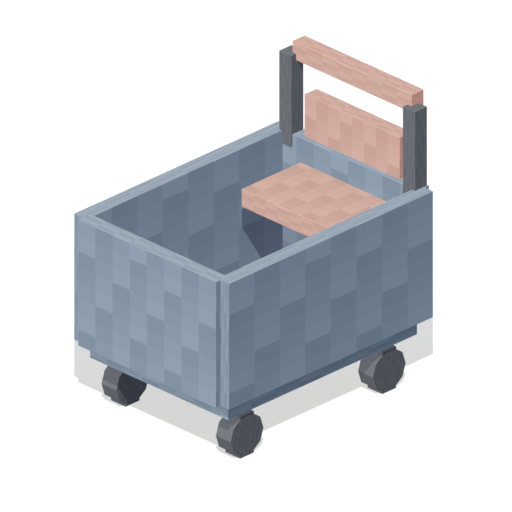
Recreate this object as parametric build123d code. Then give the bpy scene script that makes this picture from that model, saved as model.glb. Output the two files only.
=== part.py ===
from build123d import *
from math import hypot, sqrt
import os

# A hand-pushed mine cart: an open timber tub with a seat, a backrest and a push bar, on a
# timber base frame with four ten-sided wheels.  Millimetres.  +Z is up, the front wall faces
# -Y, the push bar is at the +Y end, and left and right are as seen from the front.
# The origin lies on the ground, at the middle of the whole cart's outline.

os.makedirs("parts", exist_ok=True)

# ---------------------------------------------------------------- tub
tub_length = 1010           # side walls, end to end
tub_width = 766             # over the side walls
wall = 60                   # thickness of the four walls
wall_height = 495
end_wall_inset = 42         # side wall's end left showing past an end wall
end_proud = 22.5            # end walls' faces past the ends of the side walls

# ---------------------------------------------------------------- base frame
base_setback = 37           # base's ends in from the ends of the side walls
base_inset = 41.5           # base's sides in from the side walls' outer faces
base_height = 69
sill_width = 110
cross_width = 90
cross_spacing = 320         # between the centres of the two cross members
tenon_length = 40
tenon_width = 50
tenon_height = 30
floor_thickness = 22
floor_boards = 6
floor_gap = 2

# ---------------------------------------------------------------- wheels and hangers
wheel_radius = 82           # to the corners, and to the faces of the two tread blocks
wheel_sides = 10
wheel_width = 74
tread_block = 70            # length of a tread block along the rim
wheel_inset = 21.5          # wheel's outer face in from the base's side
wheel_setback = 116         # wheels' centres in from the base's ends
wheel_clearance = 2.3       # between the turning wheel and the block above it
side_clearance = 1          # between the wheel and its hanger
pad_thickness = 15.5
web_thickness = 12
boss_diameter = 48
boss_length = 12
bush_wall = 3
journal = 24                # axle diameter in the bush and in the wheel
running_fit = 0.05          # radial, axle in bush
axle_depth = 50             # how far the axle goes into the wheel
thread = 20                 # axle diameter under the washer and the nut
washer_diameter = 42
washer_thickness = 4
washer_gap = 0.5
nut_width = 30
nut_height = 12
axle_tail = 3               # axle's end past the nut

# ---------------------------------------------------------------- seat, backrest and handle
board = 60                  # thickness of the backrest and of the push bar
seat_gap = 88               # seat and backrest in from the side walls' inner faces
seat_depth = 291.5
seat_drop = 95              # seat's top below the rim
seat_thickness = 70
back_housing = 40.5         # how deep the backrest is let into the rear wall
back_rise = 165             # above the rim
post = 60
post_edge = 5               # post's outer face in from the rear wall's end
post_recess = 5             # post's rear face in from the rear wall's outer face
post_depth = 49             # below the rim
post_rise = 309             # above the rim
bar_height = 70
bar_lap = 18.5              # bar's ends into the posts, sideways
bar_drop = 26               # bar's underside below the posts' tops

# ---------------------------------------------------------------- ironwork and fasteners
strap_width = 50
strap_top = 170             # above the rim
strap_bottom = 163          # below the rim
bracket_inset = 77          # seat brackets' middle planes in from the seat's ends
bracket_width = 40
bracket_steel = 5
bracket_height = 150
bracket_reach = 170
dowel = 12
dowel_length = 80
wall_screw = 8
wall_screw_grip = 60        # depth in the side wall
wall_screw_end = 38         # outer screws in from the sill's ends
wall_screw_side = 112       # next screws in from the wheels' centres
wall_screw_middle = 80      # inner screws out from the tub's middle
floor_screw = 6
floor_screw_grip = 26       # depth in the sill
floor_screw_edge = 34       # in from a board's edges
floor_screw_end = 45        # in from the side walls
hanger_screw = 8
hanger_screw_grip = 48      # depth in the sill
hanger_screw_reach = 22     # each way from the middle of the wheel
strap_screw = 8
strap_screw_length = 45
strap_screw_end = 20        # in from the strap's ends
strap_screw_pitch = 35      # between the screws in the rear wall
bracket_screw = 6
bracket_screw_length = 50
bracket_screw_spread = 12   # either side of the web
bracket_screw_near = 55     # first screw from the corner
bracket_screw_end = 15      # second screw from a leg's end
back_screw = 12
back_screw_inset = 45       # outer screws in from the seat's ends
bar_screw = 6
bar_screw_cover = 6         # timber left ahead of the screw's point
head_recess = 2             # coach screws' heads below the surface
socket_room = 2             # around a coach screw's head
hole_fit = 0.1              # radial, fastener in its hole

# ---------------------------------------------------------------- places that follow
sweep = hypot(wheel_radius, tread_block / 2)
pad_bottom = wheel_radius + sweep + wheel_clearance
base_bottom = pad_bottom + pad_thickness
base_top = base_bottom + base_height
rim = base_top + wall_height

mid_y = -(board - back_housing) / 2              # middle of the tub
end_face = tub_length / 2 + end_proud            # from mid_y to an end wall's face
end_inner = end_face - wall
side_inner = tub_width / 2 - wall
half_end = tub_width / 2 - end_wall_inset
half_base = tub_width / 2 - base_inset
half_base_length = tub_length / 2 - base_setback
wheel_y = half_base_length - wheel_setback       # from mid_y to the wheels' centres
half_seat = side_inner - seat_gap
bracket_x = half_seat - bracket_inset

board_rear = mid_y + end_face - back_housing + board
board_front = board_rear - board
seat_top = rim - seat_drop
seat_bottom = seat_top - seat_thickness
seat_rear = mid_y + end_inner
seat_front = seat_rear - seat_depth
back_top = rim + back_rise

post_outer = half_end - post_edge
post_inner = post_outer - post
post_rear = mid_y + end_face - post_recess
post_front = post_rear - post
post_bottom = rim - post_depth
post_top = rim + post_rise
bar_bottom = post_top - bar_drop
bar_half = post_inner + bar_lap

left_right = {"left": -1, "right": 1}
front_rear = {"front": -1, "rear": 1}
low = (Align.CENTER, Align.CENTER, Align.MAX)    # a solid that hangs down from its origin
far = 10                                         # how far cutters run past a face

nodes = {}


# ---------------------------------------------------------------- helpers
def block(x_a, x_b, y_a, y_b, z_a, z_b):
    """A box between two faces each way, given in either order."""
    size = (abs(x_b - x_a), abs(y_b - y_a), abs(z_b - z_a))
    return Pos((x_a + x_b) / 2, (y_a + y_b) / 2, (z_a + z_b) / 2) * Box(*size)


def placed(solid, at, out):
    """A fastener made at the origin, moved to a point, its head facing out."""
    return Plane(origin=at, z_dir=out).location * solid


def countersunk(shank, length, grow=0):
    """A countersunk screw with its head's face at the origin and its point down."""
    radius = shank / 2 + grow
    return Cone(radius, shank + grow, shank / 2, align=low) + Cylinder(radius, length, align=low)


def coach(shank, length):
    """A coach screw with a sunk hexagon head."""
    head_height = 0.65 * shank
    head = extrude(RegularPolygon(shank, 6), -head_height)
    return Pos(0, 0, -head_recess) * (head + Cylinder(shank / 2, length - head_recess, align=low))


def coach_hole(shank, length):
    """The stepped hole for a coach screw, with room for a socket round its head."""
    counterbore = Cylinder(shank + socket_room, head_recess + 0.65 * shank, align=low)
    return counterbore + Cylinder(shank / 2 + hole_fit, length, align=low)


def screws(places, shank, length, out):
    """A set of countersunk screws and the cutters of their holes."""
    made = [placed(countersunk(shank, length), at, out) for at in places]
    holes = [placed(countersunk(shank, length, hole_fit), at, out) for at in places]
    return made, holes


def coach_screws(places, shank, length, out):
    """A set of coach screws and the cutters of their holes."""
    made = [placed(coach(shank, length), at, out) for at in places]
    holes = [placed(coach_hole(shank, length), at, out) for at in places]
    return made, holes


# ---------------------------------------------------------------- wheels
wheel_ys = {end: mid_y + turn * wheel_y for end, turn in front_rear.items()}
wheel_inner = {
    "right": half_base - wheel_inset - wheel_width,
    "left": wheel_inset - half_base,
}
axle_hole = journal / 2 + running_fit


def disc(radius, x0, x1):
    """A cylinder along X about the wheel's axis."""
    return extrude(Plane.YZ.offset(x0) * Circle(radius), x1 - x0)


def wheel():
    """A ten-sided wheel with two tread blocks, from its inner face at X = 0."""
    rim_plate = extrude(Plane.YZ * RegularPolygon(wheel_radius, wheel_sides), wheel_width)
    half = tread_block / 2
    blocks = block(0, wheel_width, -half, half, -wheel_radius, wheel_radius)
    return rim_plate + blocks - disc(journal / 2, 0, axle_depth)


def hanger():
    """A pad over the wheel with a web down its inner side, and a boss for the bush."""
    web_x = -side_clearance
    pad_z = pad_bottom - wheel_radius
    half = tread_block / 2
    pad = block(web_x - web_thickness, wheel_width, -half, half, pad_z, pad_z + pad_thickness)
    radius = boss_diameter / 2
    web = block(web_x - web_thickness, web_x, -radius, radius, 0, pad_z)
    boss = disc(radius, web_x - web_thickness - boss_length, web_x)
    return pad + web + boss - disc(axle_hole + bush_wall, -2 * boss_diameter, 0)


def bush():
    """The bush that lines the hanger's boss."""
    start = -side_clearance - web_thickness - boss_length
    return disc(axle_hole + bush_wall, start, -side_clearance) - disc(axle_hole, start, 0)


def nut_stack():
    """Stub axle, washer and nut: the washer runs just clear of the boss."""
    boss_face = -side_clearance - web_thickness - boss_length
    washer_start = boss_face - washer_gap - washer_thickness
    nut_start = washer_start - nut_height
    shaft = disc(journal / 2, boss_face - washer_gap, axle_depth)
    tail = disc(thread / 2, nut_start - axle_tail, boss_face - washer_gap)
    washer = disc(washer_diameter / 2, washer_start, boss_face - washer_gap)
    hexagon = Plane.YZ.offset(nut_start) * RegularPolygon(nut_width / sqrt(3), 6)
    bore = disc(thread / 2, nut_start, boss_face)
    return shaft + tail, washer - bore, extrude(hexagon, nut_height) - bore


def hanger_screw_places(x, y):
    """Four points on the underside of a hanger's pad."""
    middle = x + wheel_width / 2
    reach = hanger_screw_reach
    return [(middle + i * reach, y + j * reach, pad_bottom) for i in (-1, 1) for j in (-1, 1)]


hanger_places = []
for centre_y in wheel_ys.values():
    for inner_x in wheel_inner.values():
        hanger_places += hanger_screw_places(inner_x, centre_y)
hanger_screws, hanger_holes = screws(
    hanger_places, hanger_screw, pad_thickness + hanger_screw_grip, (0, 0, -1))
nodes["hanger_screws"] = hanger_screws

for end, centre_y in wheel_ys.items():
    for side, inner_x in wheel_inner.items():
        corner = f"{end}_{side}"
        spot = Pos(inner_x, centre_y, wheel_radius)
        axle, washer, nut = nut_stack()
        nodes[f"wheel_{corner}"] = spot * wheel()
        nodes[f"wheel_hanger_{corner}"] = spot * hanger() - hanger_holes
        nodes[f"axle_bush_{corner}"] = spot * bush()
        nodes[f"stub_axle_{corner}"] = spot * axle
        nodes[f"axle_washer_{corner}"] = spot * washer
        nodes[f"axle_nut_{corner}"] = spot * nut

# ---------------------------------------------------------------- base frame
sill_inner = half_base - sill_width
cross_ys = [mid_y - cross_spacing / 2, mid_y + cross_spacing / 2]
end_sill_ys = [mid_y + turn * (half_base_length - sill_width / 2) for turn in (-1, 1)]


def tenons(y):
    """The two tenons of a cross piece as one bar right across."""
    middle = (base_bottom + base_top) / 2
    span = sill_inner + tenon_length
    return block(-span, span, y - tenon_width / 2, y + tenon_width / 2,
                 middle - tenon_height / 2, middle + tenon_height / 2)


def cross_piece(y, width):
    """A member between the side sills with a tenon at each end."""
    beam = block(-sill_inner, sill_inner, y - width / 2, y + width / 2, base_bottom, base_top)
    return beam + tenons(y)


wall_screw_x = (side_inner + half_base) / 2
wall_screw_ys = [
    half_base_length - wall_screw_end, wheel_y - wall_screw_side, wall_screw_middle]
wall_places = [
    (turn * wall_screw_x, mid_y + away * y, base_bottom)
    for turn in (-1, 1) for away in (-1, 1) for y in wall_screw_ys
]
wall_screws, wall_holes = screws(
    wall_places, wall_screw, base_height + wall_screw_grip, (0, 0, -1))
nodes["wall_screws"] = wall_screws

board_pitch = (2 * end_inner + floor_gap) / floor_boards
board_starts = [mid_y - end_inner + n * board_pitch for n in range(floor_boards)]
floor_top = base_top + floor_thickness
floor_screw_x = side_inner - floor_screw_end
floor_screw_steps = (floor_screw_edge, board_pitch - floor_gap - floor_screw_edge)
floor_places = [
    (turn * floor_screw_x, start + step, floor_top)
    for turn in (-1, 1) for start in board_starts for step in floor_screw_steps
]
floor_screws, floor_holes = screws(
    floor_places, floor_screw, floor_thickness + floor_screw_grip, (0, 0, 1))
nodes["floor_screws"] = floor_screws

for number, start in enumerate(board_starts, 1):
    plank = block(-side_inner, side_inner, start, start + board_pitch - floor_gap,
                  base_top, floor_top)
    nodes[f"floor_board_{number}"] = plank - floor_holes

mortises = [tenons(y) for y in end_sill_ys + cross_ys]
frame_holes = wall_holes + floor_holes + hanger_holes
for side, turn in left_right.items():
    sill = block(turn * sill_inner, turn * half_base,
                 mid_y - half_base_length, mid_y + half_base_length, base_bottom, base_top)
    nodes[f"side_sill_{side}"] = sill - mortises - frame_holes
for end, y in zip(front_rear, end_sill_ys):
    nodes[f"end_sill_{end}"] = cross_piece(y, sill_width) - frame_holes
for end, y in zip(front_rear, cross_ys):
    nodes[f"cross_member_{end}"] = cross_piece(y, cross_width) - frame_holes

# ---------------------------------------------------------------- posts and push bar
strap_z0 = rim - strap_bottom
strap_z1 = rim + strap_top
strap_middle = (post_inner + post_outer) / 2
strap_zs = [
    strap_z0 + strap_screw_end + step * strap_screw_pitch for step in range(3)
] + [rim - post_depth / 2, rim + strap_top / 2, strap_z1 - strap_screw_end]
strap_places = [
    (turn * strap_middle, post_rear + bracket_steel, z) for turn in (-1, 1) for z in strap_zs
]
strap_screws, strap_holes = screws(strap_places, strap_screw, strap_screw_length, (0, 1, 0))
nodes["strap_screws"] = strap_screws

bar_screw_x = post_inner + bar_lap / 2
bar_screw_z = bar_bottom + bar_drop / 2
bar_places = [(turn * bar_screw_x, board_rear, bar_screw_z) for turn in (-1, 1)]
bar_screw_length = board_rear - post_front - bar_screw_cover
bar_screws, bar_holes = coach_screws(bar_places, bar_screw, bar_screw_length, (0, 1, 0))
nodes["push_bar_screws"] = bar_screws

bar = block(-bar_half, bar_half, board_front, board_rear, bar_bottom, bar_bottom + bar_height)
nodes["push_bar"] = bar - bar_holes


def post_solid(turn):
    """One post without its holes."""
    return block(turn * post_inner, turn * post_outer, post_front, post_rear,
                 post_bottom, post_top)


def strap_solid(turn):
    """The flat strap behind a post, flush with the rear wall's outer face."""
    half = strap_width / 2
    return block(turn * strap_middle - half, turn * strap_middle + half,
                 post_rear, post_rear + bracket_steel, strap_z0, strap_z1)


for side, turn in left_right.items():
    nodes[f"post_{side}"] = post_solid(turn) - bar - strap_holes - bar_holes
    nodes[f"post_strap_{side}"] = strap_solid(turn) - strap_holes

# ---------------------------------------------------------------- seat and backrest
back_screw_z = (seat_bottom + seat_top) / 2
back_span = half_seat - back_screw_inset
back_places = [(share * back_span, board_rear, back_screw_z) for share in (-1, -0.4, 0.4, 1)]
back_screws, back_holes = coach_screws(back_places, back_screw, board + wall, (0, 1, 0))
nodes["backrest_screws"] = back_screws

backrest = block(-half_seat, half_seat, board_front, board_rear, seat_bottom, back_top)
nodes["backrest"] = backrest - back_holes


def seat_bracket(x):
    """A welded bracket: a leg on the wall, a leg under the seat, and a web between them."""
    half = bracket_width / 2
    leg = block(x - half, x + half, seat_rear - bracket_steel, seat_rear,
                seat_bottom - bracket_height, seat_bottom)
    shelf = block(x - half, x + half, seat_rear - bracket_reach, seat_rear,
                  seat_bottom - bracket_steel, seat_bottom)
    web_outline = Polyline(
        (seat_rear, seat_bottom), (seat_rear - bracket_reach, seat_bottom),
        (seat_rear - bracket_reach, seat_bottom - 2 * bracket_steel),
        (seat_rear - 2 * bracket_steel, seat_bottom - bracket_height),
        (seat_rear, seat_bottom - bracket_height), close=True)
    web_plane = Plane.YZ.offset(x - bracket_steel / 2)
    return leg + shelf + extrude(web_plane * make_face(web_outline), bracket_steel)


shelf_places = [
    (turn * bracket_x + i * bracket_screw_spread, seat_rear - reach,
     seat_bottom - bracket_steel)
    for turn in (-1, 1) for i in (-1, 1)
    for reach in (bracket_screw_near, bracket_reach - bracket_screw_end)
]
leg_places = [
    (turn * bracket_x + i * bracket_screw_spread, seat_rear - bracket_steel,
     seat_bottom - drop)
    for turn in (-1, 1) for i in (-1, 1)
    for drop in (bracket_screw_near, bracket_height - bracket_screw_end)
]
shelf_screws, shelf_holes = screws(
    shelf_places, bracket_screw, bracket_screw_length, (0, 0, -1))
leg_screws, leg_holes = screws(
    leg_places, bracket_screw, bracket_screw_length, (0, -1, 0))
nodes["bracket_screws"] = shelf_screws + leg_screws

seat = block(-half_seat, half_seat, seat_front, seat_rear, seat_bottom, seat_top)
nodes["seat"] = seat - back_holes - shelf_holes
for side, turn in left_right.items():
    nodes[f"seat_bracket_{side}"] = seat_bracket(turn * bracket_x) - shelf_holes - leg_holes

# ---------------------------------------------------------------- walls
dowel_x = (side_inner + half_end) / 2
dowel_zs = [base_top + share * (post_bottom - base_top) for share in (0.18, 0.54, 0.9)]
dowel_spots = [
    Pos(i * dowel_x, mid_y + j * end_inner, z) * Rot(90, 0, 0)
    for i in (-1, 1) for j in (-1, 1) for z in dowel_zs
]
dowel_holes = [spot * Cylinder(dowel / 2 + hole_fit, dowel_length) for spot in dowel_spots]
nodes["corner_dowels"] = [spot * Cylinder(dowel / 2, dowel_length) for spot in dowel_spots]

end_outlines = [
    block(-half_end, half_end, mid_y + turn * end_inner, mid_y + turn * end_face, base_top, rim)
    for turn in (-1, 1)
]
posts = [post_solid(turn) for turn in (-1, 1)]
post_backs = [
    block(turn * post_inner, turn * post_outer, post_rear, post_rear + far, post_bottom, rim + far)
    for turn in (-1, 1)
]
straps = [strap_solid(turn) for turn in (-1, 1)]
floor_space = block(-side_inner, side_inner, mid_y - end_inner, mid_y + end_inner, base_top, floor_top)

for side, turn in left_right.items():
    slab = block(turn * side_inner, turn * tub_width / 2,
                 mid_y - tub_length / 2, mid_y + tub_length / 2, base_top, rim)
    nodes[f"side_wall_{side}"] = slab - end_outlines - posts - wall_holes - dowel_holes
nodes["front_wall"] = end_outlines[0] - dowel_holes
nodes["rear_wall"] = (end_outlines[1] - posts - post_backs - straps - backrest
                      - dowel_holes - strap_holes - back_holes - leg_holes)

# ---------------------------------------------------------------- write the files
for name, made in nodes.items():
    solids = made if isinstance(made, list) else [made]
    shape = Compound([solid for item in solids for solid in item.solids()])
    export_step(shape, f"parts/{name}.step")
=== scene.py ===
"""A hand-pushed mine cart: timber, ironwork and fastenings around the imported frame."""
from contextlib import contextmanager
from functools import lru_cache
from math import radians

import bpy
from bpy.props import FloatProperty, FloatVectorProperty, IntProperty, PointerProperty
from mathutils import Matrix, Quaternion, Vector


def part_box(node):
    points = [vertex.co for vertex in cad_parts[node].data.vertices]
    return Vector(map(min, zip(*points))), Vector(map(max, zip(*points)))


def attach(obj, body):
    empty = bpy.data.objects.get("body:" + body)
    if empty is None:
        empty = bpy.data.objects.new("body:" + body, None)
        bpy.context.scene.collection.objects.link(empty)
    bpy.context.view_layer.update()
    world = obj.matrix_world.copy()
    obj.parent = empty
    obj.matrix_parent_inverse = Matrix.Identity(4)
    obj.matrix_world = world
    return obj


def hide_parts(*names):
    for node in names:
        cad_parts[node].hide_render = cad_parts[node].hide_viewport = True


bl_info = {
    "name": "Mine Cart",
    "version": (1, 0, 0),
    "blender": (4, 5, 0),
    "location": "3D View > Sidebar > Mine Cart",
    "description": "Timber tub, seat, push bar, wheels and ironwork of a hand-pushed mine cart",
    "category": "Object",
}

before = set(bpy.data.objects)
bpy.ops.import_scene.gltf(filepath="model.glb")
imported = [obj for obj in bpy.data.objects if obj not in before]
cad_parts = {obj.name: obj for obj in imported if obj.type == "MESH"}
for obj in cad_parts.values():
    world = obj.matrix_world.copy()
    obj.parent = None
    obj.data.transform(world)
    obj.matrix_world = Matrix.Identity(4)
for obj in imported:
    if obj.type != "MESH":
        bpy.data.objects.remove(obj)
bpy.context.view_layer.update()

CORNERS = ("front_left", "front_right", "rear_left", "rear_right")
HOME = CORNERS[0]    # the corner whose wheel, hanger and axle are modelled
SIDES = ("left", "right")
UP, DOWN, FRONT, REAR = (0, 0, 1), (0, 0, -1), (0, -1, 0), (0, 1, 0)

TOES = 0.01          # how far a cutter runs past the face it enters
NEAR = 1e-6          # nearer than this, two places are one
RING = 2e-5          # how near a vertex lies to the ring cut that it belongs to
FINE, ROUND, COARSE = 48, 40, 20     # facets round bores, turned parts and shanks

POINT = 0.12         # a screw's point to its shank
THREAD_ROOT = 0.93   # a thread's root to its crest
NUT_CHAMFER = 0.12   # a nut's chamfer to its radius
HEAD_HEIGHT = 0.65   # height of a coach screw's head to its radius
HEAD_TOP = 0.84      # the flat on top of that head to the head
HEAD_CHAMFER = 0.3   # depth of its chamfer to its height
BEAD_FACETS = 10
BEAD_WAIST = 0.82    # a weld bead between two ripples to its crest
BEAD_STEP = 1.1      # half a ripple to the bead's radius


# ------------------------------------------------------------------ settings
def metres(description, default):
    """A size in metres that a user may change."""
    return FloatProperty(description=description, default=default, min=0.0, precision=4,
                         unit="LENGTH")


def level(description, default, high=10.0):
    """A strength of light between nothing and a limit."""
    return FloatProperty(description=description, default=default, min=0.0, max=high)


def gain(description, default):
    """What a colour is multiplied by, channel by channel."""
    return FloatVectorProperty(description=description, default=default, size=3, min=0.0,
                               max=2.0)


def colour(description, default):
    """A linear colour that a user may change."""
    return FloatVectorProperty(description=description, default=default, subtype="COLOR",
                               size=3, min=0.0, max=1.0)


def labelled(settings):
    """A settings group whose properties are labelled with their own names."""
    for key, made in settings.__annotations__.items():
        made.keywords["name"] = key.replace("_", " ").capitalize()
    return settings


@labelled
class CartSizes(bpy.types.PropertyGroup):
    """Edges, heads and beads that finish the cart's pieces."""
    timber_edge: metres("Round on the arrises of walls, frame and posts", 0.0008)
    handled_edge: metres("Round on the seat, backrest and push bar", 0.0012)
    casting_edge: metres("Round on the edges of wheels and hangers", 0.0018)
    plate_edge: metres("Round on straps, seat brackets and washers", 0.0006)
    turned_edge: metres("Round on the ends of the stub axles", 0.0008)
    edge_steps: IntProperty(description="Facets across a rounded edge", default=3, min=1, max=6)
    slot_width: metres("Width of the slot in a countersunk head", 0.0014)
    slot_depth: metres("Depth of the slot in a countersunk head", 0.0012)
    hole_fit: metres("Room round a screw in its hole", 0.0001)
    socket_room: metres("Room round a sunk coach screw's head", 0.002)
    weld_bead: metres("Radius of the beads on the seat brackets", 0.0028)
    tenon_width: metres("Width of the tenons in the base frame", 0.05)
    tenon_height: metres("Height of the tenons in the base frame", 0.03)
    wheel_sides: IntProperty(description="Flats round a wheel's rim", default=10, min=6, max=24)
    tread_block: metres("Length of a tread block along the rim", 0.07)
    web_thickness: metres("Thickness of a hanger's web", 0.012)
    pad_thickness: metres("Thickness of a hanger's pad", 0.0155)
    bracket_steel: metres("Thickness of the seat brackets' steel", 0.005)
    axle_thread: metres("Diameter of the axles' threaded ends", 0.02)
    thread_pitch: metres("Distance from thread to thread", 0.0025)
    worn_width: metres("Width of the rubbed band along timber edges", 0.0028)


@labelled
class CartColours(bpy.types.PropertyGroup):
    """Colours of the timber and of the ironwork."""
    tub_dark: colour("Darkest patches of the tub's timber", (0.254, 0.373, 0.449))
    tub_light: colour("Lightest patches of the tub's timber", (0.319, 0.461, 0.543))
    # Painted light: this gain makes the tub's stain lighter on the base frame, which lies in the
    # walls' shadow.
    base_shade: gain("Change of colour over the base frame", (1.12, 1.16, 1.12))
    # Painted light: a gain that makes the tub's faces along the grain lighter; on the walls
    # these are the tops.
    tub_ends: gain("Change of colour over the tub's end grain", (1.25, 1.17, 1.10))
    seat_dark: colour("Darkest patches of seat and bar", (0.665, 0.473, 0.371))
    seat_light: colour("Lightest patches of seat and bar", (0.752, 0.556, 0.445))
    # Painted light: a gain that makes the ends of seat, backrest and bar redder than their
    # fronts.
    seat_ends: gain("Change of colour over seat and bar ends", (1.22, 1.0, 0.93))
    post_dark: colour("Darkest streaks of the posts", (0.150, 0.181, 0.194))
    post_light: colour("Lightest streaks of the posts", (0.180, 0.222, 0.232))
    # Painted light: a gain that makes the posts' tops lighter than their sides.
    post_ends: gain("Change of colour over the posts' tops", (1.10, 1.13, 1.03))
    wheel_dark: colour("Darkest streaks of the wheels", (0.113, 0.135, 0.145))
    wheel_light: colour("Lightest streaks of the wheels", (0.152, 0.183, 0.193))
    # Painted light: a gain that makes the wheels' rim facets lighter than their flat discs.
    tread: gain("Change of colour over the worn rim", (1.16, 1.19, 1.17))
    # Painted shade: the hangers' iron is darker than the wheels' iron, for the shade under the
    # base.
    hanger_dark: colour("Darkest parts of the hangers", (0.070, 0.075, 0.085))
    hanger_light: colour("Lightest parts of the hangers", (0.100, 0.107, 0.120))
    strap_dark: colour("Darkest paint of the flat iron", (0.045, 0.048, 0.055))
    strap_light: colour("Lightest paint of the flat iron", (0.070, 0.075, 0.085))
    rust: colour("Rust that shows through worn paint and on castings", (0.20, 0.085, 0.04))
    steel_dark: colour("Dulled steel of screws and nuts", (0.42, 0.43, 0.45))
    steel_light: colour("Bright steel of screws and nuts", (0.62, 0.63, 0.65))
    dowel_dark: colour("Darkest wood of the dowels", (0.36, 0.24, 0.13))
    dowel_light: colour("Lightest wood of the dowels", (0.55, 0.40, 0.24))
    brass_dark: colour("Dulled brass of the bushes", (0.42, 0.28, 0.11))
    brass_light: colour("Bright brass of the bushes", (0.72, 0.52, 0.24))


@labelled
class CartStage(bpy.types.PropertyGroup):
    """Camera and lights round the cart."""
    azimuth: FloatProperty(description="Camera's turn from the front", default=radians(45),
                           subtype="ANGLE")
    elevation: FloatProperty(description="Camera's height above the horizon",
                             default=radians(27), subtype="ANGLE")
    width: metres("Width that the camera takes in", 1.792)
    key: level("Strength of the light that casts the shadow", 1.6)
    front: level("Strength of the soft light from the front", 2.13)
    top: level("Strength of the soft light from above", 0.75)
    right: level("Strength of the soft light from the right", 0.85)
    left: level("Strength of the soft light from the left", 1.3)
    back: level("Strength of the soft light from behind", 1.7)
    under: level("Strength of the soft light from below", 0.5)
    sky: level("Brightness of the even light all round", 0.06, 2.0)
    gleam: level("Brightness that metal mirrors", 0.45, 2.0)


# ------------------------------------------------------------------ modelling
def rest():
    """Object mode, with nothing selected."""
    if bpy.context.object and bpy.context.object.mode != "OBJECT":
        bpy.ops.object.mode_set(mode="OBJECT")
    bpy.ops.object.select_all(action="DESELECT")


def take(piece):
    """Only this piece selected and active."""
    rest()
    piece.select_set(True)
    bpy.context.view_layer.objects.active = piece


def settle(name):
    """The new primitive's place put into its mesh, and its name given."""
    bpy.ops.object.transform_apply(location=True, rotation=True, scale=True)
    piece = bpy.context.object
    piece.name = piece.data.name = name
    return piece


def slab(name, low, high):
    """A block between two corners."""
    rest()
    low, high = Vector(low), Vector(high)
    bpy.ops.mesh.primitive_cube_add(size=1, location=(low + high) / 2)
    bpy.context.object.scale = high - low
    return settle(name)


def rod(name, start, end, radius, facets=32, spin=0.0):
    """A round or many-sided bar between two points, turned about its own axis."""
    rest()
    start, end = Vector(start), Vector(end)
    turn = (end - start).to_track_quat("Z", "Y") @ Quaternion((0, 0, 1), spin)
    turn = turn.to_euler()
    bpy.ops.mesh.primitive_cylinder_add(
        vertices=facets, radius=radius, depth=(end - start).length,
        location=(start + end) / 2, rotation=turn)
    return settle(name)


def crosswise(name, left, right, at, radius, facets=ROUND, spin=0.0):
    """A bar across the cart, level with a place."""
    return rod(name, (left, at.y, at.z), (right, at.y, at.z), radius, facets, spin)


def carve(piece, cutters, operation="DIFFERENCE"):
    """Cutters taken from a piece, or joined to it, and then removed."""
    for cutter in cutters:
        take(piece)
        change = piece.modifiers.new("Carve", "BOOLEAN")
        change.object, change.operation, change.solver = cutter, operation, "EXACT"
        bpy.ops.object.modifier_apply(modifier=change.name)
        bpy.data.meshes.remove(cutter.data)


def ease(piece, width, steps=None):
    """The sharp edges of a piece rounded."""
    take(piece)
    change = piece.modifiers.new("Ease", "BEVEL")
    change.width = width
    change.segments = steps or bpy.context.scene.cart_sizes.edge_steps
    change.limit_method = "ANGLE"
    change.angle_limit = radians(20)
    bpy.ops.object.modifier_apply(modifier=change.name)
    return piece


@contextmanager
def editing(piece):
    """A piece in edit mode with everything selected, for as long as the block lasts."""
    take(piece)
    bpy.ops.object.mode_set(mode="EDIT")
    bpy.ops.mesh.select_mode(type="VERT")
    bpy.ops.mesh.select_all(action="SELECT")
    yield
    bpy.ops.object.mode_set(mode="OBJECT")


def cut_at(places, way, **options):
    """The piece in edit mode cut through at each place, square to one direction."""
    for place in places:
        bpy.ops.mesh.select_all(action="SELECT")
        bpy.ops.mesh.bisect(plane_co=place, plane_no=way, **options)


def resize_where(piece, test, size, centre):
    """The vertices of a piece in edit mode that pass a test of their place, resized."""
    bpy.ops.mesh.select_all(action="DESELECT")
    bpy.ops.object.mode_set(mode="OBJECT")
    for point in piece.data.vertices:
        point.select = test(point.co)
    bpy.ops.object.mode_set(mode="EDIT")
    bpy.ops.transform.resize(value=size, center_override=centre)


def join(pieces, name):
    """Several pieces made one."""
    rest()
    for piece in pieces:
        piece.select_set(True)
    bpy.context.view_layer.objects.active = pieces[0]
    if len(pieces) > 1:
        bpy.ops.object.join()
    pieces[0].name = pieces[0].data.name = name
    return pieces[0]


def twin_of(piece, place):
    """A copy of a piece with a mesh of its own, moved by a matrix."""
    twin = piece.copy()
    twin.data = piece.data.copy()
    twin.data.transform(place)
    bpy.context.scene.collection.objects.link(twin)
    return twin


def repeat(pattern, name, places):
    """Copies of a piece at places given as matrices, as one piece."""
    made = [twin_of(pattern, place) for place in places]
    bpy.data.meshes.remove(pattern.data)
    return join(made, name)


def box_of(piece):
    """The corners of a piece's own mesh."""
    points = [point.co for point in piece.data.vertices]
    return Vector(map(min, zip(*points))), Vector(map(max, zip(*points)))


@lru_cache(maxsize=None)
def solids_of(name):
    """The corners of each separate solid in a frame node, in a steady order."""
    twin = twin_of(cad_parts[name], Matrix())
    twin.parent = None
    with editing(twin):
        bpy.ops.mesh.remove_doubles(threshold=NEAR)
        bpy.ops.mesh.separate(type="LOOSE")
    boxes = []
    for part in list(bpy.context.selected_objects):
        boxes.append(box_of(part))
        bpy.data.meshes.remove(part.data)
    return sorted(boxes, key=lambda box: tuple(round(x, 4) for x in box[0]))


def main_axis(way):
    """The axis that a direction lies along most."""
    return max(range(3), key=lambda axis: abs(way[axis]))


def screws_along(name, out):
    """The corners of a node's screws that lie along one direction."""
    along = main_axis(out)
    return [(low, high) for low, high in solids_of(name)
            if high[along] - low[along] >= max(high - low) - NEAR]


def heads_of(name, out):
    """The middle of each screw's head face, and which way it looks, as matrices."""
    out = Vector(out)
    turn = out.to_track_quat("Z", "Y").to_matrix().to_4x4()
    places = []
    for low, high in screws_along(name, out):
        reach = abs((high - low).dot(out)) / 2
        places.append(Matrix.Translation((low + high) / 2 + out * reach) @ turn)
    return places


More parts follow.
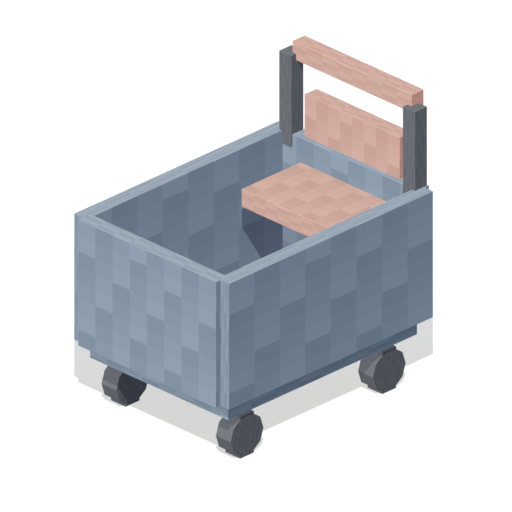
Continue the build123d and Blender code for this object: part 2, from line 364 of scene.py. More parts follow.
def lay_tones(piece, low, high):
    """A face map over a box: across and up each side, as seen from outside, each side's size
    and the axis that it faces."""
    mesh = piece.data
    for layer in list(mesh.uv_layers):
        mesh.uv_layers.remove(layer)
    layer = mesh.uv_layers.new(name="tones")
    extent = mesh.attributes.new("extent", "FLOAT_VECTOR", "FACE")
    size = high - low
    for face in mesh.polygons:
        axis = main_axis(face.normal)
        across, up = (other for other in range(3) if other != axis)
        flip = (axis == 0 and face.normal.x < 0) or (axis == 1 and face.normal.y > 0)
        extent.data[face.index].vector = (size[across], size[up], axis)
        for corner in face.loop_indices:
            point = mesh.vertices[mesh.loops[corner].vertex_index].co
            u = (point[across] - low[across]) / size[across]
            v = (point[up] - low[up]) / size[up]
            layer.data[corner].uv = (1 - u if flip else u, v)


def hand_over(piece, body, nodes, finish, box=None):
    """A finished piece: its face map, material and body, with the nodes it stands for hidden."""
    lay_tones(piece, *(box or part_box(nodes[0])))
    piece.data.materials.clear()
    piece.data.materials.append(finish)
    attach(piece, body)
    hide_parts(*nodes)


# ------------------------------------------------------------------ countersunk and coach screws
def sharpen(shank, radius, length):
    """The lower end of a screw in edit mode drawn in over three of its radii."""
    cut_at([(0, 0, 3 * radius - length)], UP)
    resize_where(shank, lambda place: place.z < NEAR - length,
                 (POINT, POINT, 1), (0, 0, -length))


def sunk_form(name, radius, length, grow=0.0, pointed=False):
    """A countersunk screw standing head up under the origin, or its cutter. The head is twice
    the shank across and as deep as the shank's radius."""
    shank = rod(name, (0, 0, -length), (0, 0, TOES if grow else 0), radius + grow, COARSE)
    rings = (-radius, 0.0) if grow else (-radius,)
    widen = (2 * radius + grow) / (radius + grow)
    with editing(shank):
        cut_at([(0, 0, height) for height in rings], UP)
        resize_where(shank, lambda place: place.z > -NEAR, (widen, widen, 1), (0, 0, 0))
        if pointed:
            sharpen(shank, radius, length)
    return shank


def sink(piece, name, out):
    """Countersunk holes in a piece for a node's screws whose heads lie in its face."""
    low, high = box_of(piece)
    places = [at for at in heads_of(name, out) if touches(at.translation, low, high)]
    if places:
        fit = bpy.context.scene.cart_sizes.hole_fit
        cutter = sunk_form("cutter", *screw_size(name, out), fit)
        carve(piece, [repeat(cutter, "cutters", places)])


def touches(place, low, high, slack=1e-4):
    """Whether a place lies in a box or on its faces."""
    return all(low[i] - slack <= place[i] <= high[i] + slack for i in range(3))


def screw_size(name, out):
    """The shank radius and the length of a node's countersunk screws."""
    low, high = screws_along(name, out)[0]
    size = high - low
    along = main_axis(out)
    return size[(along + 1) % 3] / 4, size[along]


def coach_size(name):
    """Head radius, length and head height of a node's coach screws."""
    low, high = solids_of(name)[0]
    size = high - low
    radius = max(size.x, size.z) / 2
    return radius, size.y, HEAD_HEIGHT * radius


def socket_holes(piece, name):
    """Round holes in a piece's rear face for coach screws' heads and a socket round them."""
    face = box_of(piece)[1].y
    radius, _, height = coach_size(name)
    room = bpy.context.scene.cart_sizes.socket_room
    for place in heads_of(name, REAR):
        at = place.translation
        carve(piece, [rod("cutter", (at.x, at.y - height, at.z), (at.x, face + TOES, at.z),
                          radius + room, ROUND)])


# ------------------------------------------------------------------ shader node groups
WHITE = (1, 1, 1, 1)
TONES = 5
PATCH_WANDER, EDGE_BREAKS = 14.0, 60.0              # repeats of noise in a metre
IRON_MOTTLE, IRON_RUST = 38.0, 55.0
BROAD_GRAIN, FINE_GRAIN, PORE_GRAIN = 1.0, 4.5, 9.0  # repeats over the stretched place
PORE_DEPTH = 0.35                                   # pores' depth to the streaks' height


def feed(tree, socket, value):
    """A node's socket given a number, a colour or another node's output."""
    if isinstance(value, bpy.types.NodeSocket):
        tree.links.new(value, socket)
    else:
        socket.default_value = value


def node(tree, kind, values=(), **settings):
    """A shader node with its settings, and its inputs fed by name or number."""
    made = tree.nodes.new("ShaderNode" + kind)
    for key, value in settings.items():
        setattr(made, key, value)
    for key, value in dict(values).items():
        feed(tree, made.inputs[key], value)
    return made


def sums(tree, operation, *values, kind="Math"):
    """The result of one Math or Vector Math node."""
    made = node(tree, kind, operation=operation)
    for socket, value in zip(made.inputs, values):
        feed(tree, socket, value)
    return made.outputs[0]


def mixed(tree, factor, first, second, blend="MIX"):
    """Two colours mixed."""
    made = node(tree, "Mix", data_type="RGBA", blend_type=blend)
    for number, value in ((0, factor), (6, first), (7, second)):
        feed(tree, made.inputs[number], value)
    return made.outputs[2]


def multiplied(tree, base, factor):
    """A colour multiplied by another."""
    return mixed(tree, 1.0, base, factor, "MULTIPLY")


def extent_of(tree):
    """The size of each side of a piece, and the axis that it faces."""
    return node(tree, "Attribute", attribute_name="extent").outputs["Vector"]


def picked(tree, axis, on, off):
    """One colour on the faces that look along an axis, and another on the rest."""
    faces = node(tree, "SeparateXYZ", {0: extent_of(tree)}).outputs[2]
    return mixed(tree, sums(tree, "COMPARE", faces, float("xyz".index(axis)), 0.5), off, on)


def ramped(tree, value, start, end, low=0.0, high=1.0):
    """A value eased from low to high between two limits."""
    made = node(tree, "MapRange", {0: value, 1: start, 2: end, 3: low, 4: high},
                interpolation_type="SMOOTHSTEP")
    return made.outputs[0]


def noise(tree, place, scale, detail=2.0, roughness=0.5, output="Fac"):
    """Noise over a place."""
    made = node(tree, "TexNoise", {"Vector": place, "Scale": scale, "Detail": detail,
                                   "Roughness": roughness})
    return made.outputs[output]


def group(name, inputs, outputs):
    """An empty node group with its named sockets."""
    tree = bpy.data.node_groups.new(name, "ShaderNodeTree")
    for label, kind, default in inputs:
        made = tree.interface.new_socket(
            name=label, in_out="INPUT", socket_type="NodeSocket" + kind)
        if default is not None:
            made.default_value = default
    for label in outputs:
        tree.interface.new_socket(name=label, in_out="OUTPUT", socket_type="NodeSocketFloat")
    given = tree.nodes.new("NodeGroupInput").outputs
    result = tree.nodes.new("NodeGroupOutput").inputs
    return tree, given, result


def tone_patches():
    """Patches of five tones in rows and columns, each row and column stepping the tone on."""
    tree, given, result = group("Tone Patches", [
        ("Face", "Vector", None), ("Place", "Vector", None), ("Columns", "Float", 8.0),
        ("Rows", "Float", 8.0), ("Offset", "Float", 3.0), ("Waver", "Float", 0.03),
    ], ["Tone"])
    spread = noise(tree, given["Place"], PATCH_WANDER, 1.0, output="Color")
    wander = sums(tree, "SUBTRACT", spread, (0.5, 0.5, 0.5), kind="VectorMath")
    wander = node(tree, "SeparateXYZ", {0: wander}).outputs
    face = node(tree, "SeparateXYZ", {0: given["Face"]}).outputs
    down = sums(tree, "SUBTRACT", 1.0, face[1])
    steps = []
    for place, count, drift in ((face[0], "Columns", wander[0]), (down, "Rows", wander[1])):
        at = sums(tree, "MULTIPLY_ADD", place, given[count],
                  sums(tree, "MULTIPLY", drift, given["Waver"]))
        last = sums(tree, "SUBTRACT", given[count], 1.0)
        whole = sums(tree, "MAXIMUM", sums(tree, "FLOOR", at), 0.0)
        steps.append(sums(tree, "MINIMUM", whole, last))
    count = sums(tree, "ADD", sums(tree, "MULTIPLY_ADD", steps[0], 2.0, steps[1]),
                 given["Offset"])
    tone = sums(tree, "FLOORED_MODULO", count, TONES)
    feed(tree, result["Tone"], sums(tree, "DIVIDE", tone, TONES - 1))
    return tree


def timber_grain():
    """Long streaks and fine pores, over a place already stretched along the grain."""
    tree, given, result = group("Timber Grain", [
        ("Grain", "Vector", None), ("Figure", "Float", 0.5),
    ], ["Streak", "Pores", "Height"])
    broad = noise(tree, given["Grain"], BROAD_GRAIN, 3.0, 0.6)
    fine = noise(tree, given["Grain"], FINE_GRAIN, 2.0, 0.55)
    pores = ramped(tree, noise(tree, given["Grain"], PORE_GRAIN, 1.0), 0.60, 0.72)
    rest_of = sums(tree, "SUBTRACT", 1.0, given["Figure"])
    streak = sums(tree, "MULTIPLY_ADD", broad, given["Figure"],
                  sums(tree, "MULTIPLY", fine, rest_of))
    feed(tree, result["Streak"], ramped(tree, streak, 0.30, 0.70))
    feed(tree, result["Pores"], pores)
    feed(tree, result["Height"],
         sums(tree, "SUBTRACT", streak, sums(tree, "MULTIPLY", pores, PORE_DEPTH)))
    return tree


def worn_edges():
    """A broken band along the edges of each side of a piece."""
    tree, given, result = group("Worn Edges", [
        ("Face", "Vector", None), ("Extent", "Vector", None), ("Place", "Vector", None),
        ("Width", "Float", 0.003), ("Breaks", "Float", 0.8),
    ], ["Edge"])
    face = node(tree, "SeparateXYZ", {0: given["Face"]}).outputs
    extent = node(tree, "SeparateXYZ", {0: given["Extent"]}).outputs
    nearest = None
    for place, size in ((face[0], extent[0]), (face[1], extent[1])):
        for way in (place, sums(tree, "SUBTRACT", 1.0, place)):
            reach = sums(tree, "MULTIPLY", way, size)
            nearest = reach if nearest is None else sums(tree, "MINIMUM", nearest, reach)
    ragged = noise(tree, given["Place"], EDGE_BREAKS, 3.0, 0.65)
    ragged = sums(tree, "MULTIPLY", sums(tree, "SUBTRACT", ragged, 0.5), given["Breaks"])
    shift = sums(tree, "MULTIPLY", ragged, sums(tree, "MULTIPLY", given["Width"], 6.0))
    inside = ramped(tree, sums(tree, "ADD", nearest, shift), 0.0, given["Width"])
    feed(tree, result["Edge"], sums(tree, "SUBTRACT", 1.0, inside))
    return tree


def cast_skin():
    """The mottled, pitted skin of cast and rolled iron."""
    tree, given, result = group("Iron Skin", [
        ("Place", "Vector", None), ("Grain", "Float", 900.0),
    ], ["Mottle", "Rust", "Height"])
    mottle = noise(tree, given["Place"], IRON_MOTTLE, 4.0, 0.6)
    sand = noise(tree, given["Place"], given["Grain"], 2.0, 0.6)
    rust = ramped(tree, noise(tree, given["Place"], IRON_RUST, 5.0, 0.7), 0.60, 0.74)
    feed(tree, result["Mottle"], ramped(tree, mottle, 0.3, 0.7))
    feed(tree, result["Rust"], rust)
    feed(tree, result["Height"], sums(tree, "MULTIPLY_ADD", mottle, 0.6, sand))
    return tree


def placed_group(tree, builder, name, values):
    """A node group set in a material, built the first time that it is asked for."""
    made = tree.nodes.new("ShaderNodeGroup")
    made.node_tree = bpy.data.node_groups.get(name) or builder()
    for key, value in values.items():
        feed(tree, made.inputs[key], value)
    return made.outputs


# ------------------------------------------------------------------ finishes
GRAIN_ACROSS, GRAIN_ALONG = 240.0, 7.0      # repeats in a metre
RUNS = {
    "x": (GRAIN_ALONG, GRAIN_ACROSS, GRAIN_ACROSS),
    "y": (GRAIN_ACROSS, GRAIN_ALONG, GRAIN_ACROSS),
    "z": (GRAIN_ACROSS, GRAIN_ACROSS, GRAIN_ALONG),
}
RUBBED = (1.035, 1.03, 1.03, 1)             # change of colour along worn edges


def cleared(owner):
    """The node tree of a material or a world, emptied."""
    owner.use_nodes = True
    owner.node_tree.nodes.clear()
    return owner.node_tree


def new_finish(name, roughness, specular, metallic=0.0):
    """A material with its shader, and where its surface is read from."""
    material = bpy.data.materials.new(name)
    tree = cleared(material)
    shader = node(tree, "BsdfPrincipled", {
        "Roughness": roughness, "Metallic": metallic, "Specular IOR Level": specular})
    node(tree, "OutputMaterial", {0: shader.outputs[0]})
    place = node(tree, "TexCoord").outputs["Object"]
    face = node(tree, "UVMap", uv_map="tones").outputs[0]
    return material, tree, shader.inputs, place, face


def dress(tree, shader, base, patches, rough, smooth, height, strength, distance):
    """A finish's colour, its roughness from patch to patch, and its fine relief."""
    feed(tree, shader["Base Color"], base)
    feed(tree, shader["Roughness"], ramped(tree, patches, 0.0, 1.0, rough, smooth))
    bump = node(tree, "Bump", {"Height": height, "Strength": strength, "Distance": distance})
    feed(tree, shader["Normal"], bump.outputs[0])


def opaque(value, gain=(1, 1, 1)):
    """A colour with its alpha, made lighter or darker channel by channel."""
    return (*(part * change for part, change in zip(value, gain)), 1.0)


def tones_of(family, gain=(1, 1, 1)):
    """The dark and the light colour that share a name."""
    colours = bpy.context.scene.cart_colours
    return [opaque(getattr(colours, f"{family}_{tone}"), gain) for tone in ("dark", "light")]


def timber(name, tones, run, ends=None, grain=0.05):
    """Sawn, stained timber: five tones in patches, grain along one axis, rubbed edges."""
    if name in bpy.data.materials:
        return bpy.data.materials[name]
    material, tree, shader, place, face = new_finish(name, 0.8, 0.2)
    tone = placed_group(tree, tone_patches, "Tone Patches",
                        {"Face": face, "Place": place})["Tone"]
    stretched = node(tree, "Mapping", {"Vector": place, "Scale": RUNS[run]}).outputs[0]
    figure = placed_group(tree, timber_grain, "Timber Grain", {"Grain": stretched})
    edge = placed_group(tree, worn_edges, "Worn Edges", {
        "Face": face, "Extent": extent_of(tree), "Place": place,
        "Width": bpy.context.scene.cart_sizes.worn_width})["Edge"]
    base = mixed(tree, tone, *tones)
    base = multiplied(tree, base, mixed(tree, figure["Streak"], opaque([1 - grain] * 3), WHITE))
    base = multiplied(tree, base, mixed(tree, figure["Pores"], WHITE,
                                        opaque([1 - 2 * grain] * 3)))
    # Painted light: the faces that look along the grain are made lighter or redder by this gain.
    if ends:
        base = multiplied(tree, base, picked(tree, run, opaque(ends), WHITE))
    base = multiplied(tree, base, mixed(tree, edge, WHITE, RUBBED))
    dress(tree, shader, base, figure["Streak"], 0.88, 0.74, figure["Height"], 0.25, 0.0006)
    return material


def iron(name, tones, roughness, rust, patches=None, tread=None):
    """Cast or rolled iron: dull skin, upright streaks, a little rust in the pits."""
    if name in bpy.data.materials:
        return bpy.data.materials[name]
    material, tree, shader, place, face = new_finish(name, roughness, 0.35)
    skin = placed_group(tree, cast_skin, "Iron Skin", {"Place": place})
    tone = skin["Mottle"]
    if patches:
        tone = placed_group(tree, tone_patches, "Tone Patches",
                            {"Face": face, "Place": place, **patches})["Tone"]
        tone = sums(tree, "MULTIPLY_ADD", skin["Mottle"], 0.2,
                    sums(tree, "MULTIPLY", tone, 0.8))
    base = mixed(tree, tone, *tones)
    base = mixed(tree, sums(tree, "MULTIPLY", skin["Rust"], rust), base,
                 opaque(bpy.context.scene.cart_colours.rust))
    # Painted light: every face but the discs is made lighter by this gain.
    if tread:
        base = multiplied(tree, base, picked(tree, "x", WHITE, opaque(tread)))
    dress(tree, shader, base, skin["Mottle"], roughness + 0.08, roughness - 0.08,
          skin["Height"], 0.3, 0.0005)
    return material


def bright(name, tones, roughness):
    """Turned or drawn metal, dulled in patches."""
    if name in bpy.data.materials:
        return bpy.data.materials[name]
    material, tree, shader, place, _ = new_finish(name, roughness, 0.5, metallic=1.0)
    skin = placed_group(tree, cast_skin, "Iron Skin", {"Place": place, "Grain": 1600.0})
    dress(tree, shader, mixed(tree, skin["Mottle"], *tones), skin["Mottle"],
          roughness + 0.1, roughness - 0.08, skin["Height"], 0.12, 0.0002)
    return material


def tub_finish(run="z"):
    """Blue-grey stained timber of the tub and its floor."""
    # Painted light: the faces along the grain, on the walls their tops, are made lighter.
    return timber(f"blue-grey stained timber, grain {run}", tones_of("tub"), run,
                  bpy.context.scene.cart_colours.tub_ends)


def base_finish(run):
    """The tub's stain, painted lighter over the frame below it, which lies in the walls' shadow.
    """
    painted_lift = bpy.context.scene.cart_colours.base_shade
    return timber(f"deep blue-grey stained timber, grain {run}", tones_of("tub", painted_lift), run)


def seat_finish():
    """Rose-stained timber of the seat, backrest and push bar."""
    # Painted light: the ends of seat, backrest and bar are given a redder colour.
    return timber("rose stained timber", tones_of("seat"), "x",
                  bpy.context.scene.cart_colours.seat_ends)


def post_finish():
    """Charcoal stained timber of the posts."""
    # Painted light: the posts' tops are made lighter than their sides.
    return timber("charcoal stained timber", tones_of("post"), "z",
                  bpy.context.scene.cart_colours.post_ends, grain=0.10)


def wheel_finish():
    """Cast iron of the wheels, streaked upright as they stand at rest."""
    return iron("cast iron, wheel", tones_of("wheel"), 0.62, 0.10,
                {"Columns": 24.0, "Offset": 2.0, "Waver": 0.05},
                # Painted light: the rim facets are made lighter than the discs.
                bpy.context.scene.cart_colours.tread)


def hanger_finish():
    """Cast iron of the hangers, darker than the wheels' iron as painted shade under the base."""
    return iron("cast iron, hanger", tones_of("hanger"), 0.68, 0.25)


def strap_finish():
    """Black paint on flat iron, rusted through in spots."""
    return iron("black painted iron", tones_of("strap"), 0.5, 0.45)


def steel_finish():
    """Bright steel of the screws, axles and nuts."""
    return bright("bright steel", tones_of("steel"), 0.36)


# ------------------------------------------------------------------ timber
FACES = {"front": (0, 1), "rear": (1, 1), "bottom": (0, 2), "top": (1, 2)}   # corner and axis


def beyond(name, *faces):
    """A cutter that fills a node's box and runs out past the faces named."""
    corners = [Vector(corner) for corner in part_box(name)]
    for end, axis in (FACES[face] for face in faces):
        corners[end][axis] += TOES if end else -TOES
    return slab("cutter", *corners)


def timber_piece(name, finish, edge, cutters=(), bore=None, box=None):
    """A timber that fills its node's box, handed over once housed, eased and bored."""
    piece = slab(f"{name}_timber", *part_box(name))
    carve(piece, cutters)
    ease(piece, edge)
    if bore:
        bore(piece)
    hand_over(piece, "cart", [name], finish, box)


class CART_OT_walls(bpy.types.Operator):
    """Make the walls: the sides housed for the end walls and the posts, and the rear wall for
    posts, straps and backrest"""
    bl_idname = "mine_cart.walls"
    bl_label = "Walls"

    def execute(self, context):
        upright = ("bottom", "top")
        housings = {f"side_wall_{side}": {"front_wall": upright, "rear_wall": upright,
                                          f"post_{side}": ("top",)} for side in SIDES}
        housings["front_wall"] = {}
        housings["rear_wall"] = rear = {"backrest": ("top",)}
        for side in SIDES:
            rear[f"post_{side}"] = ("front", "rear", "top")
            rear[f"post_strap_{side}"] = ("rear", "top")
        for name, cuts in housings.items():
            timber_piece(name, tub_finish(), context.scene.cart_sizes.timber_edge,
                         [beyond(other, *faces) for other, faces in cuts.items()])
        return {"FINISHED"}


class CART_OT_base_frame(bpy.types.Operator):
    """Make the side sills, and the end sills and cross members tenoned between them"""
    bl_idname = "mine_cart.base_frame"
    bl_label = "Base frame"

    def execute(self, context):
        sizes = context.scene.cart_sizes
        left_low, left_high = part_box("side_sill_left")
        inner = left_high.x
        whole = (left_low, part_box("side_sill_right")[1])
        crosses = ("end_sill_front", "cross_member_front", "cross_member_rear", "end_sill_rear")
        for side in SIDES:
            name = f"side_sill_{side}"
            timber_piece(name, base_finish("y"), sizes.timber_edge,
                         [tenon(cross) for cross in crosses],
                         lambda sill: sink(sill, "wall_screws", DOWN), whole)
        for name in crosses:
            low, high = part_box(name)
            beam = slab(f"{name}_timber", (inner, low.y, low.z), (-inner, high.y, high.z))
            ease(beam, sizes.timber_edge)
            carve(beam, [tenon(name)], "UNION")
            hand_over(beam, "cart", [name], base_finish("x"), whole)
        return {"FINISHED"}


def tenon(name):
    """A cross piece's two tenons as one bar right across."""
    sizes = bpy.context.scene.cart_sizes
    low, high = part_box(name)
    middle = (low + high) / 2
    half = Vector((high.x - middle.x, sizes.tenon_width / 2, sizes.tenon_height / 2))
    return slab("tenon", middle - half, middle + half)


class CART_OT_floor_boards(bpy.types.Operator):
    """Make the tub's floor boards, with holes for their screws"""
    bl_idname = "mine_cart.floor_boards"
    bl_label = "Floor boards"

    def execute(self, context):
        names = sorted(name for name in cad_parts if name.startswith("floor_board_"))
        for name in names:
            timber_piece(name, tub_finish("x"),
                         context.scene.cart_sizes.timber_edge,
                         bore=lambda board: sink(board, "floor_screws", UP))
        return {"FINISHED"}


class CART_OT_posts_and_bar(bpy.types.Operator):
    """Make the posts, notched for the push bar's ends, and the bar, bored for coach screws"""
    bl_idname = "mine_cart.posts_and_bar"
    bl_label = "Posts and push bar"

    def execute(self, context):
        sizes = context.scene.cart_sizes
        for side in SIDES:
            timber_piece(f"post_{side}", post_finish(), sizes.timber_edge,
                         [beyond("push_bar", "rear", "top")])
        timber_piece("push_bar", seat_finish(), sizes.handled_edge,
                     bore=lambda bar: socket_holes(bar, "push_bar_screws"))
        return {"FINISHED"}


class CART_OT_seat_and_back(bpy.types.Operator):
    """Make the seat and the backrest"""
    bl_idname = "mine_cart.seat_and_back"
    bl_label = "Seat and backrest"

    def execute(self, context):
        edge = context.scene.cart_sizes.handled_edge
        timber_piece("backrest", seat_finish(), edge,
                     bore=lambda back: socket_holes(back, "backrest_screws"))
        low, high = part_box("seat")
        to_wall_face = Vector((high.x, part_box("rear_wall")[1].y, high.z))
        timber_piece("seat", seat_finish(), edge, box=(low, to_wall_face),
                     bore=lambda seat: sink(seat, "bracket_screws", DOWN))
        return {"FINISHED"}


# ------------------------------------------------------------------ wheels and hangers
def to_corners(pattern, prefix, finish, suffix, turning, box=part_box):
    """One finished piece copied to the four corners and handed over."""
    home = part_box(f"{prefix}_{HOME}")[0]
    for corner in CORNERS:
        name = f"{prefix}_{corner}"
        piece = twin_of(pattern, Matrix.Translation(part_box(name)[0] - home))
        piece.name = piece.data.name = f"{name}_{suffix}"
        body = f"wheel_set_{corner}" if turning else "cart"
        hand_over(piece, body, [name], finish, box(name))
    bpy.data.meshes.remove(pattern.data)


class CART_OT_wheels(bpy.types.Operator):
    """Make the ten-sided cast wheels, each with its two tread blocks"""
    bl_idname = "mine_cart.wheels"
    bl_label = "Wheels"

    def execute(self, context):
        sizes = context.scene.cart_sizes
        low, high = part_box(f"wheel_{HOME}")
        middle = (low + high) / 2
        wheel = crosswise("wheel", low.x, high.x, middle, (high.z - low.z) / 2,
                          sizes.wheel_sides, radians(90))
        half = sizes.tread_block / 2
        block = slab("block", (low.x, middle.y - half, low.z),
                     (high.x, middle.y + half, high.z))
        ease(wheel, sizes.casting_edge)
        carve(wheel, [ease(block, sizes.casting_edge)], "UNION")
        axle_low, axle_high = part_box(f"stub_axle_{HOME}")
        carve(wheel, [crosswise("bore", low.x - TOES, axle_high.x, middle,
                                (axle_high.z - axle_low.z) / 2, FINE)])
        with editing(wheel):
            bpy.ops.mesh.remove_doubles(threshold=10 * NEAR)
            bpy.ops.mesh.fill_holes(sides=3)
        to_corners(wheel, "wheel", wheel_finish(), "casting", True, streak_box)
        return {"FINISHED"}


def streak_box(name):
    """The box that a wheel's streaks are laid over: three tread blocks from front to rear."""
    low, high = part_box(name)
    middle = (low.y + high.y) / 2
    reach = 1.5 * bpy.context.scene.cart_sizes.tread_block
    return Vector((low.x, middle - reach, low.z)), Vector((high.x, middle + reach, high.z))


class CART_OT_hangers(bpy.types.Operator):
    """Make the cast hangers: a pad, a web down the wheel's inner side, and a boss"""
    bl_idname = "mine_cart.hangers"
    bl_label = "Wheel hangers"

    def execute(self, context):
        sizes = context.scene.cart_sizes
        low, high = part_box(f"wheel_hanger_{HOME}")
        wheel_low, wheel_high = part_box(f"wheel_{HOME}")
        bush_low, bush_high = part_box(f"axle_bush_{HOME}")
        axis = (wheel_low + wheel_high) / 2
        web_right = bush_high.x
        web_left = web_right - sizes.web_thickness
        reach = axis.z - low.z
        pad_bottom = high.z - sizes.pad_thickness
        edge = sizes.casting_edge
        hanger = ease(slab("hanger", (web_left, low.y, pad_bottom), high), edge)
        side = reach - edge / 4         # the web's sides just inside the boss's
        carve(hanger, [
            ease(slab("web", (web_left, axis.y - side, axis.z),
                      (web_right, axis.y + side, pad_bottom + edge)), edge),
            ease(crosswise("boss", low.x, web_right, axis, reach, FINE), edge),
        ], "UNION")
        carve(hanger, [crosswise("bore", low.x - TOES, high.x + TOES, axis,
                                 (bush_high.z - bush_low.z) / 2, FINE)])
        sink(hanger, "hanger_screws", DOWN)
        to_corners(hanger, "wheel_hanger", hanger_finish(), "casting", False)
        return {"FINISHED"}


class CART_OT_axle_ends(bpy.types.Operator):
    """Make the stub axles, washers and nuts"""
    bl_idname = "mine_cart.axle_ends"
    bl_label = "Axles, washers and nuts"

    def execute(self, context):
        sizes = context.scene.cart_sizes
        axle_low, axle_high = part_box(f"stub_axle_{HOME}")
        washer_low, washer_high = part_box(f"axle_washer_{HOME}")
        nut_low, nut_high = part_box(f"axle_nut_{HOME}")
        middle = (axle_low + axle_high) / 2
        thread = sizes.axle_thread / 2
        axle = crosswise("axle", washer_high.x, axle_high.x, middle,
                         (axle_high.z - axle_low.z) / 2)
        tail = threaded("tail", axle_low.x, washer_high.x + TOES / 10, middle, thread,
                        sizes.thread_pitch)
        ease(axle, sizes.turned_edge, 2)
        carve(axle, [tail], "UNION")
        to_corners(axle, "stub_axle", steel_finish(), "turned", True)

        washer = crosswise("washer", washer_low.x, washer_high.x, middle,
                           (washer_high.z - washer_low.z) / 2)
        ease(washer, sizes.plate_edge, 2)
        carve(washer, [crosswise("bore", washer_low.x - TOES, washer_high.x + TOES, middle,
                                 thread)])
        to_corners(washer, "axle_washer", steel_finish(), "turned", True)

        nut_size = nut_high - nut_low
        radius = max(nut_size.y, nut_size.z) / 2
        spin = 0.0 if nut_size.z > nut_size.y else radians(90)
        nut = crosswise("nut", nut_low.x, nut_high.x, middle, radius, 6, spin)
        barrel = crosswise("barrel", nut_low.x, nut_high.x, middle, radius, FINE)
        ease(barrel, radius * NUT_CHAMFER, 1)
        carve(nut, [barrel], "INTERSECT")
        carve(nut, [crosswise("bore", nut_low.x - TOES, nut_high.x + TOES, middle, thread)])
        to_corners(nut, "axle_nut", steel_finish(), "turned", True)
        return {"FINISHED"}


def threaded(name, start, end, middle, radius, pitch):
    """A round bar along X with thread grooves turned in it."""
    bar = rod(name, (start, middle.y, middle.z), (end, middle.y, middle.z), radius)
    rings = [start + step * pitch / 2 for step in range(1, int((end - start) / pitch * 2))]
    with editing(bar):
        cut_at([(ring, 0, 0) for ring in rings], (1, 0, 0))
        resize_where(bar, lambda place: any(abs(place.x - root) < RING for root in rings[::2]),
                     (1, THREAD_ROOT, THREAD_ROOT), middle)
    return bar


# ------------------------------------------------------------------ brackets, straps and screws
class CART_OT_seat_brackets(bpy.types.Operator):
    """Make the two welded brackets under the seat"""
    bl_idname = "mine_cart.seat_brackets"
    bl_label = "Seat brackets"

    def execute(self, context):
        sizes = context.scene.cart_sizes
        for side in SIDES:
            name = f"seat_bracket_{side}"
            low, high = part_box(name)
            steel = sizes.bracket_steel
            middle = (low.x + high.x) / 2
            leg = slab("leg", low, high)
            carve(leg, [slab("cutter", (low.x - TOES, low.y - TOES, low.z - TOES),
                             (high.x + TOES, high.y - steel, high.z - steel))])
            ease(leg, sizes.plate_edge, 2)
            half = Vector((steel / 2, 0, 0))
            web = slab("web", Vector((middle, low.y + steel / 2, low.z + steel / 2)) - half,
                       Vector((middle, high.y - steel / 2, high.z - steel / 2)) + half)
            start = Vector((middle, low.y, high.z - 2 * steel))
            run = Vector((middle, high.y - 2 * steel, low.z)) - start
            with editing(web):
                cut_at([start], (0, run.z, -run.y), clear_outer=True, use_fill=True)
            ease(web, sizes.plate_edge, 2)
            carve(leg, [web], "UNION")
            beads = []
            for x in (middle - steel / 2, middle + steel / 2):
                corner = (x, high.y - steel, high.z - steel)
                beads.append(bead((x, high.y - steel, low.z + steel), corner))
                beads.append(bead((x, low.y + steel, high.z - steel), corner))
            carve(leg, beads, "UNION")
            sink(leg, "bracket_screws", DOWN)
            sink(leg, "bracket_screws", FRONT)
            leg.name = leg.data.name = f"{name}_steel"
            hand_over(leg, "cart", [name], strap_finish())
        return {"FINISHED"}


def bead(start, end):
    """A rippled weld bead between two points."""
    radius = bpy.context.scene.cart_sizes.weld_bead
    start, end = Vector(start), Vector(end)
    run = end - start
    ripples = max(4, int(run.length / (radius * BEAD_STEP)))
    rings = [start + run * step / ripples for step in range(1, ripples)]
    weld = rod("bead", start, end, radius, BEAD_FACETS)
    with editing(weld):
        cut_at(rings, run)
        for ring in rings[::2]:
            resize_where(weld, lambda place: abs((place - ring).dot(run.normalized())) < RING,
                         [BEAD_WAIST] * 3, ring)
    return weld


class CART_OT_post_straps(bpy.types.Operator):
    """Make the flat iron straps behind the posts"""
    bl_idname = "mine_cart.post_straps"
    bl_label = "Post straps"

    def execute(self, context):
        for side in SIDES:
            name = f"post_strap_{side}"
            strap = slab(f"{name}_iron", *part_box(name))
            ease(strap, context.scene.cart_sizes.plate_edge, 2)
            sink(strap, "strap_screws", REAR)
            hand_over(strap, "cart", [name], strap_finish())
        return {"FINISHED"}


class CART_OT_countersunk_screws(bpy.types.Operator):
    """Make the slotted countersunk screws of walls, floor, hangers, straps and brackets"""
    bl_idname = "mine_cart.countersunk_screws"
    bl_label = "Countersunk screws"

    def execute(self, context):
        sizes = context.scene.cart_sizes
        width, depth = sizes.slot_width, sizes.slot_depth
        for name, ways in {
                "wall_screws": [DOWN], "floor_screws": [UP], "hanger_screws": [DOWN],
                "strap_screws": [REAR], "bracket_screws": [DOWN, FRONT]}.items():
            sets = []
            for out in ways:
                radius, length = screw_size(name, out)
                screw = sunk_form("screw", radius, length, pointed=True)
                carve(screw, [slab("slot", (-3 * radius, -width / 2, -depth),
                                   (3 * radius, width / 2, TOES))])
                sets.append(repeat(screw, "screws", heads_of(name, out)))
            hand_over(join(sets, f"{name}_slotted"), "cart", [name],
                      steel_finish())
        return {"FINISHED"}


class CART_OT_coach_screws(bpy.types.Operator):
    """Make the coach screws of the backrest and the push bar"""
    bl_idname = "mine_cart.coach_screws"
    bl_label = "Coach screws"

    def execute(self, context):
        for name in ("backrest_screws", "push_bar_screws"):
            radius, length, height = coach_size(name)
            head = rod("head", (0, 0, -height), (0, 0, 0), radius, 6)
            barrel = rod("barrel", (0, 0, -height), (0, 0, 0), radius * 1.001, FINE)
            with editing(barrel):
                cut_at([(0, 0, -HEAD_CHAMFER * height)], UP)
                resize_where(barrel, lambda place: place.z > -NEAR,
                             (HEAD_TOP, HEAD_TOP, 1), (0, 0, 0))
            carve(head, [barrel], "INTERSECT")
            shank = rod("shank", (0, 0, -length), (0, 0, -height / 2), radius / 2, COARSE)
            with editing(shank):
                sharpen(shank, radius / 2, length)
            carve(head, [shank], "UNION")
            made = repeat(head, f"{name}_hexagon", heads_of(name, REAR))
            hand_over(made, "cart", [name], steel_finish())
        return {"FINISHED"}


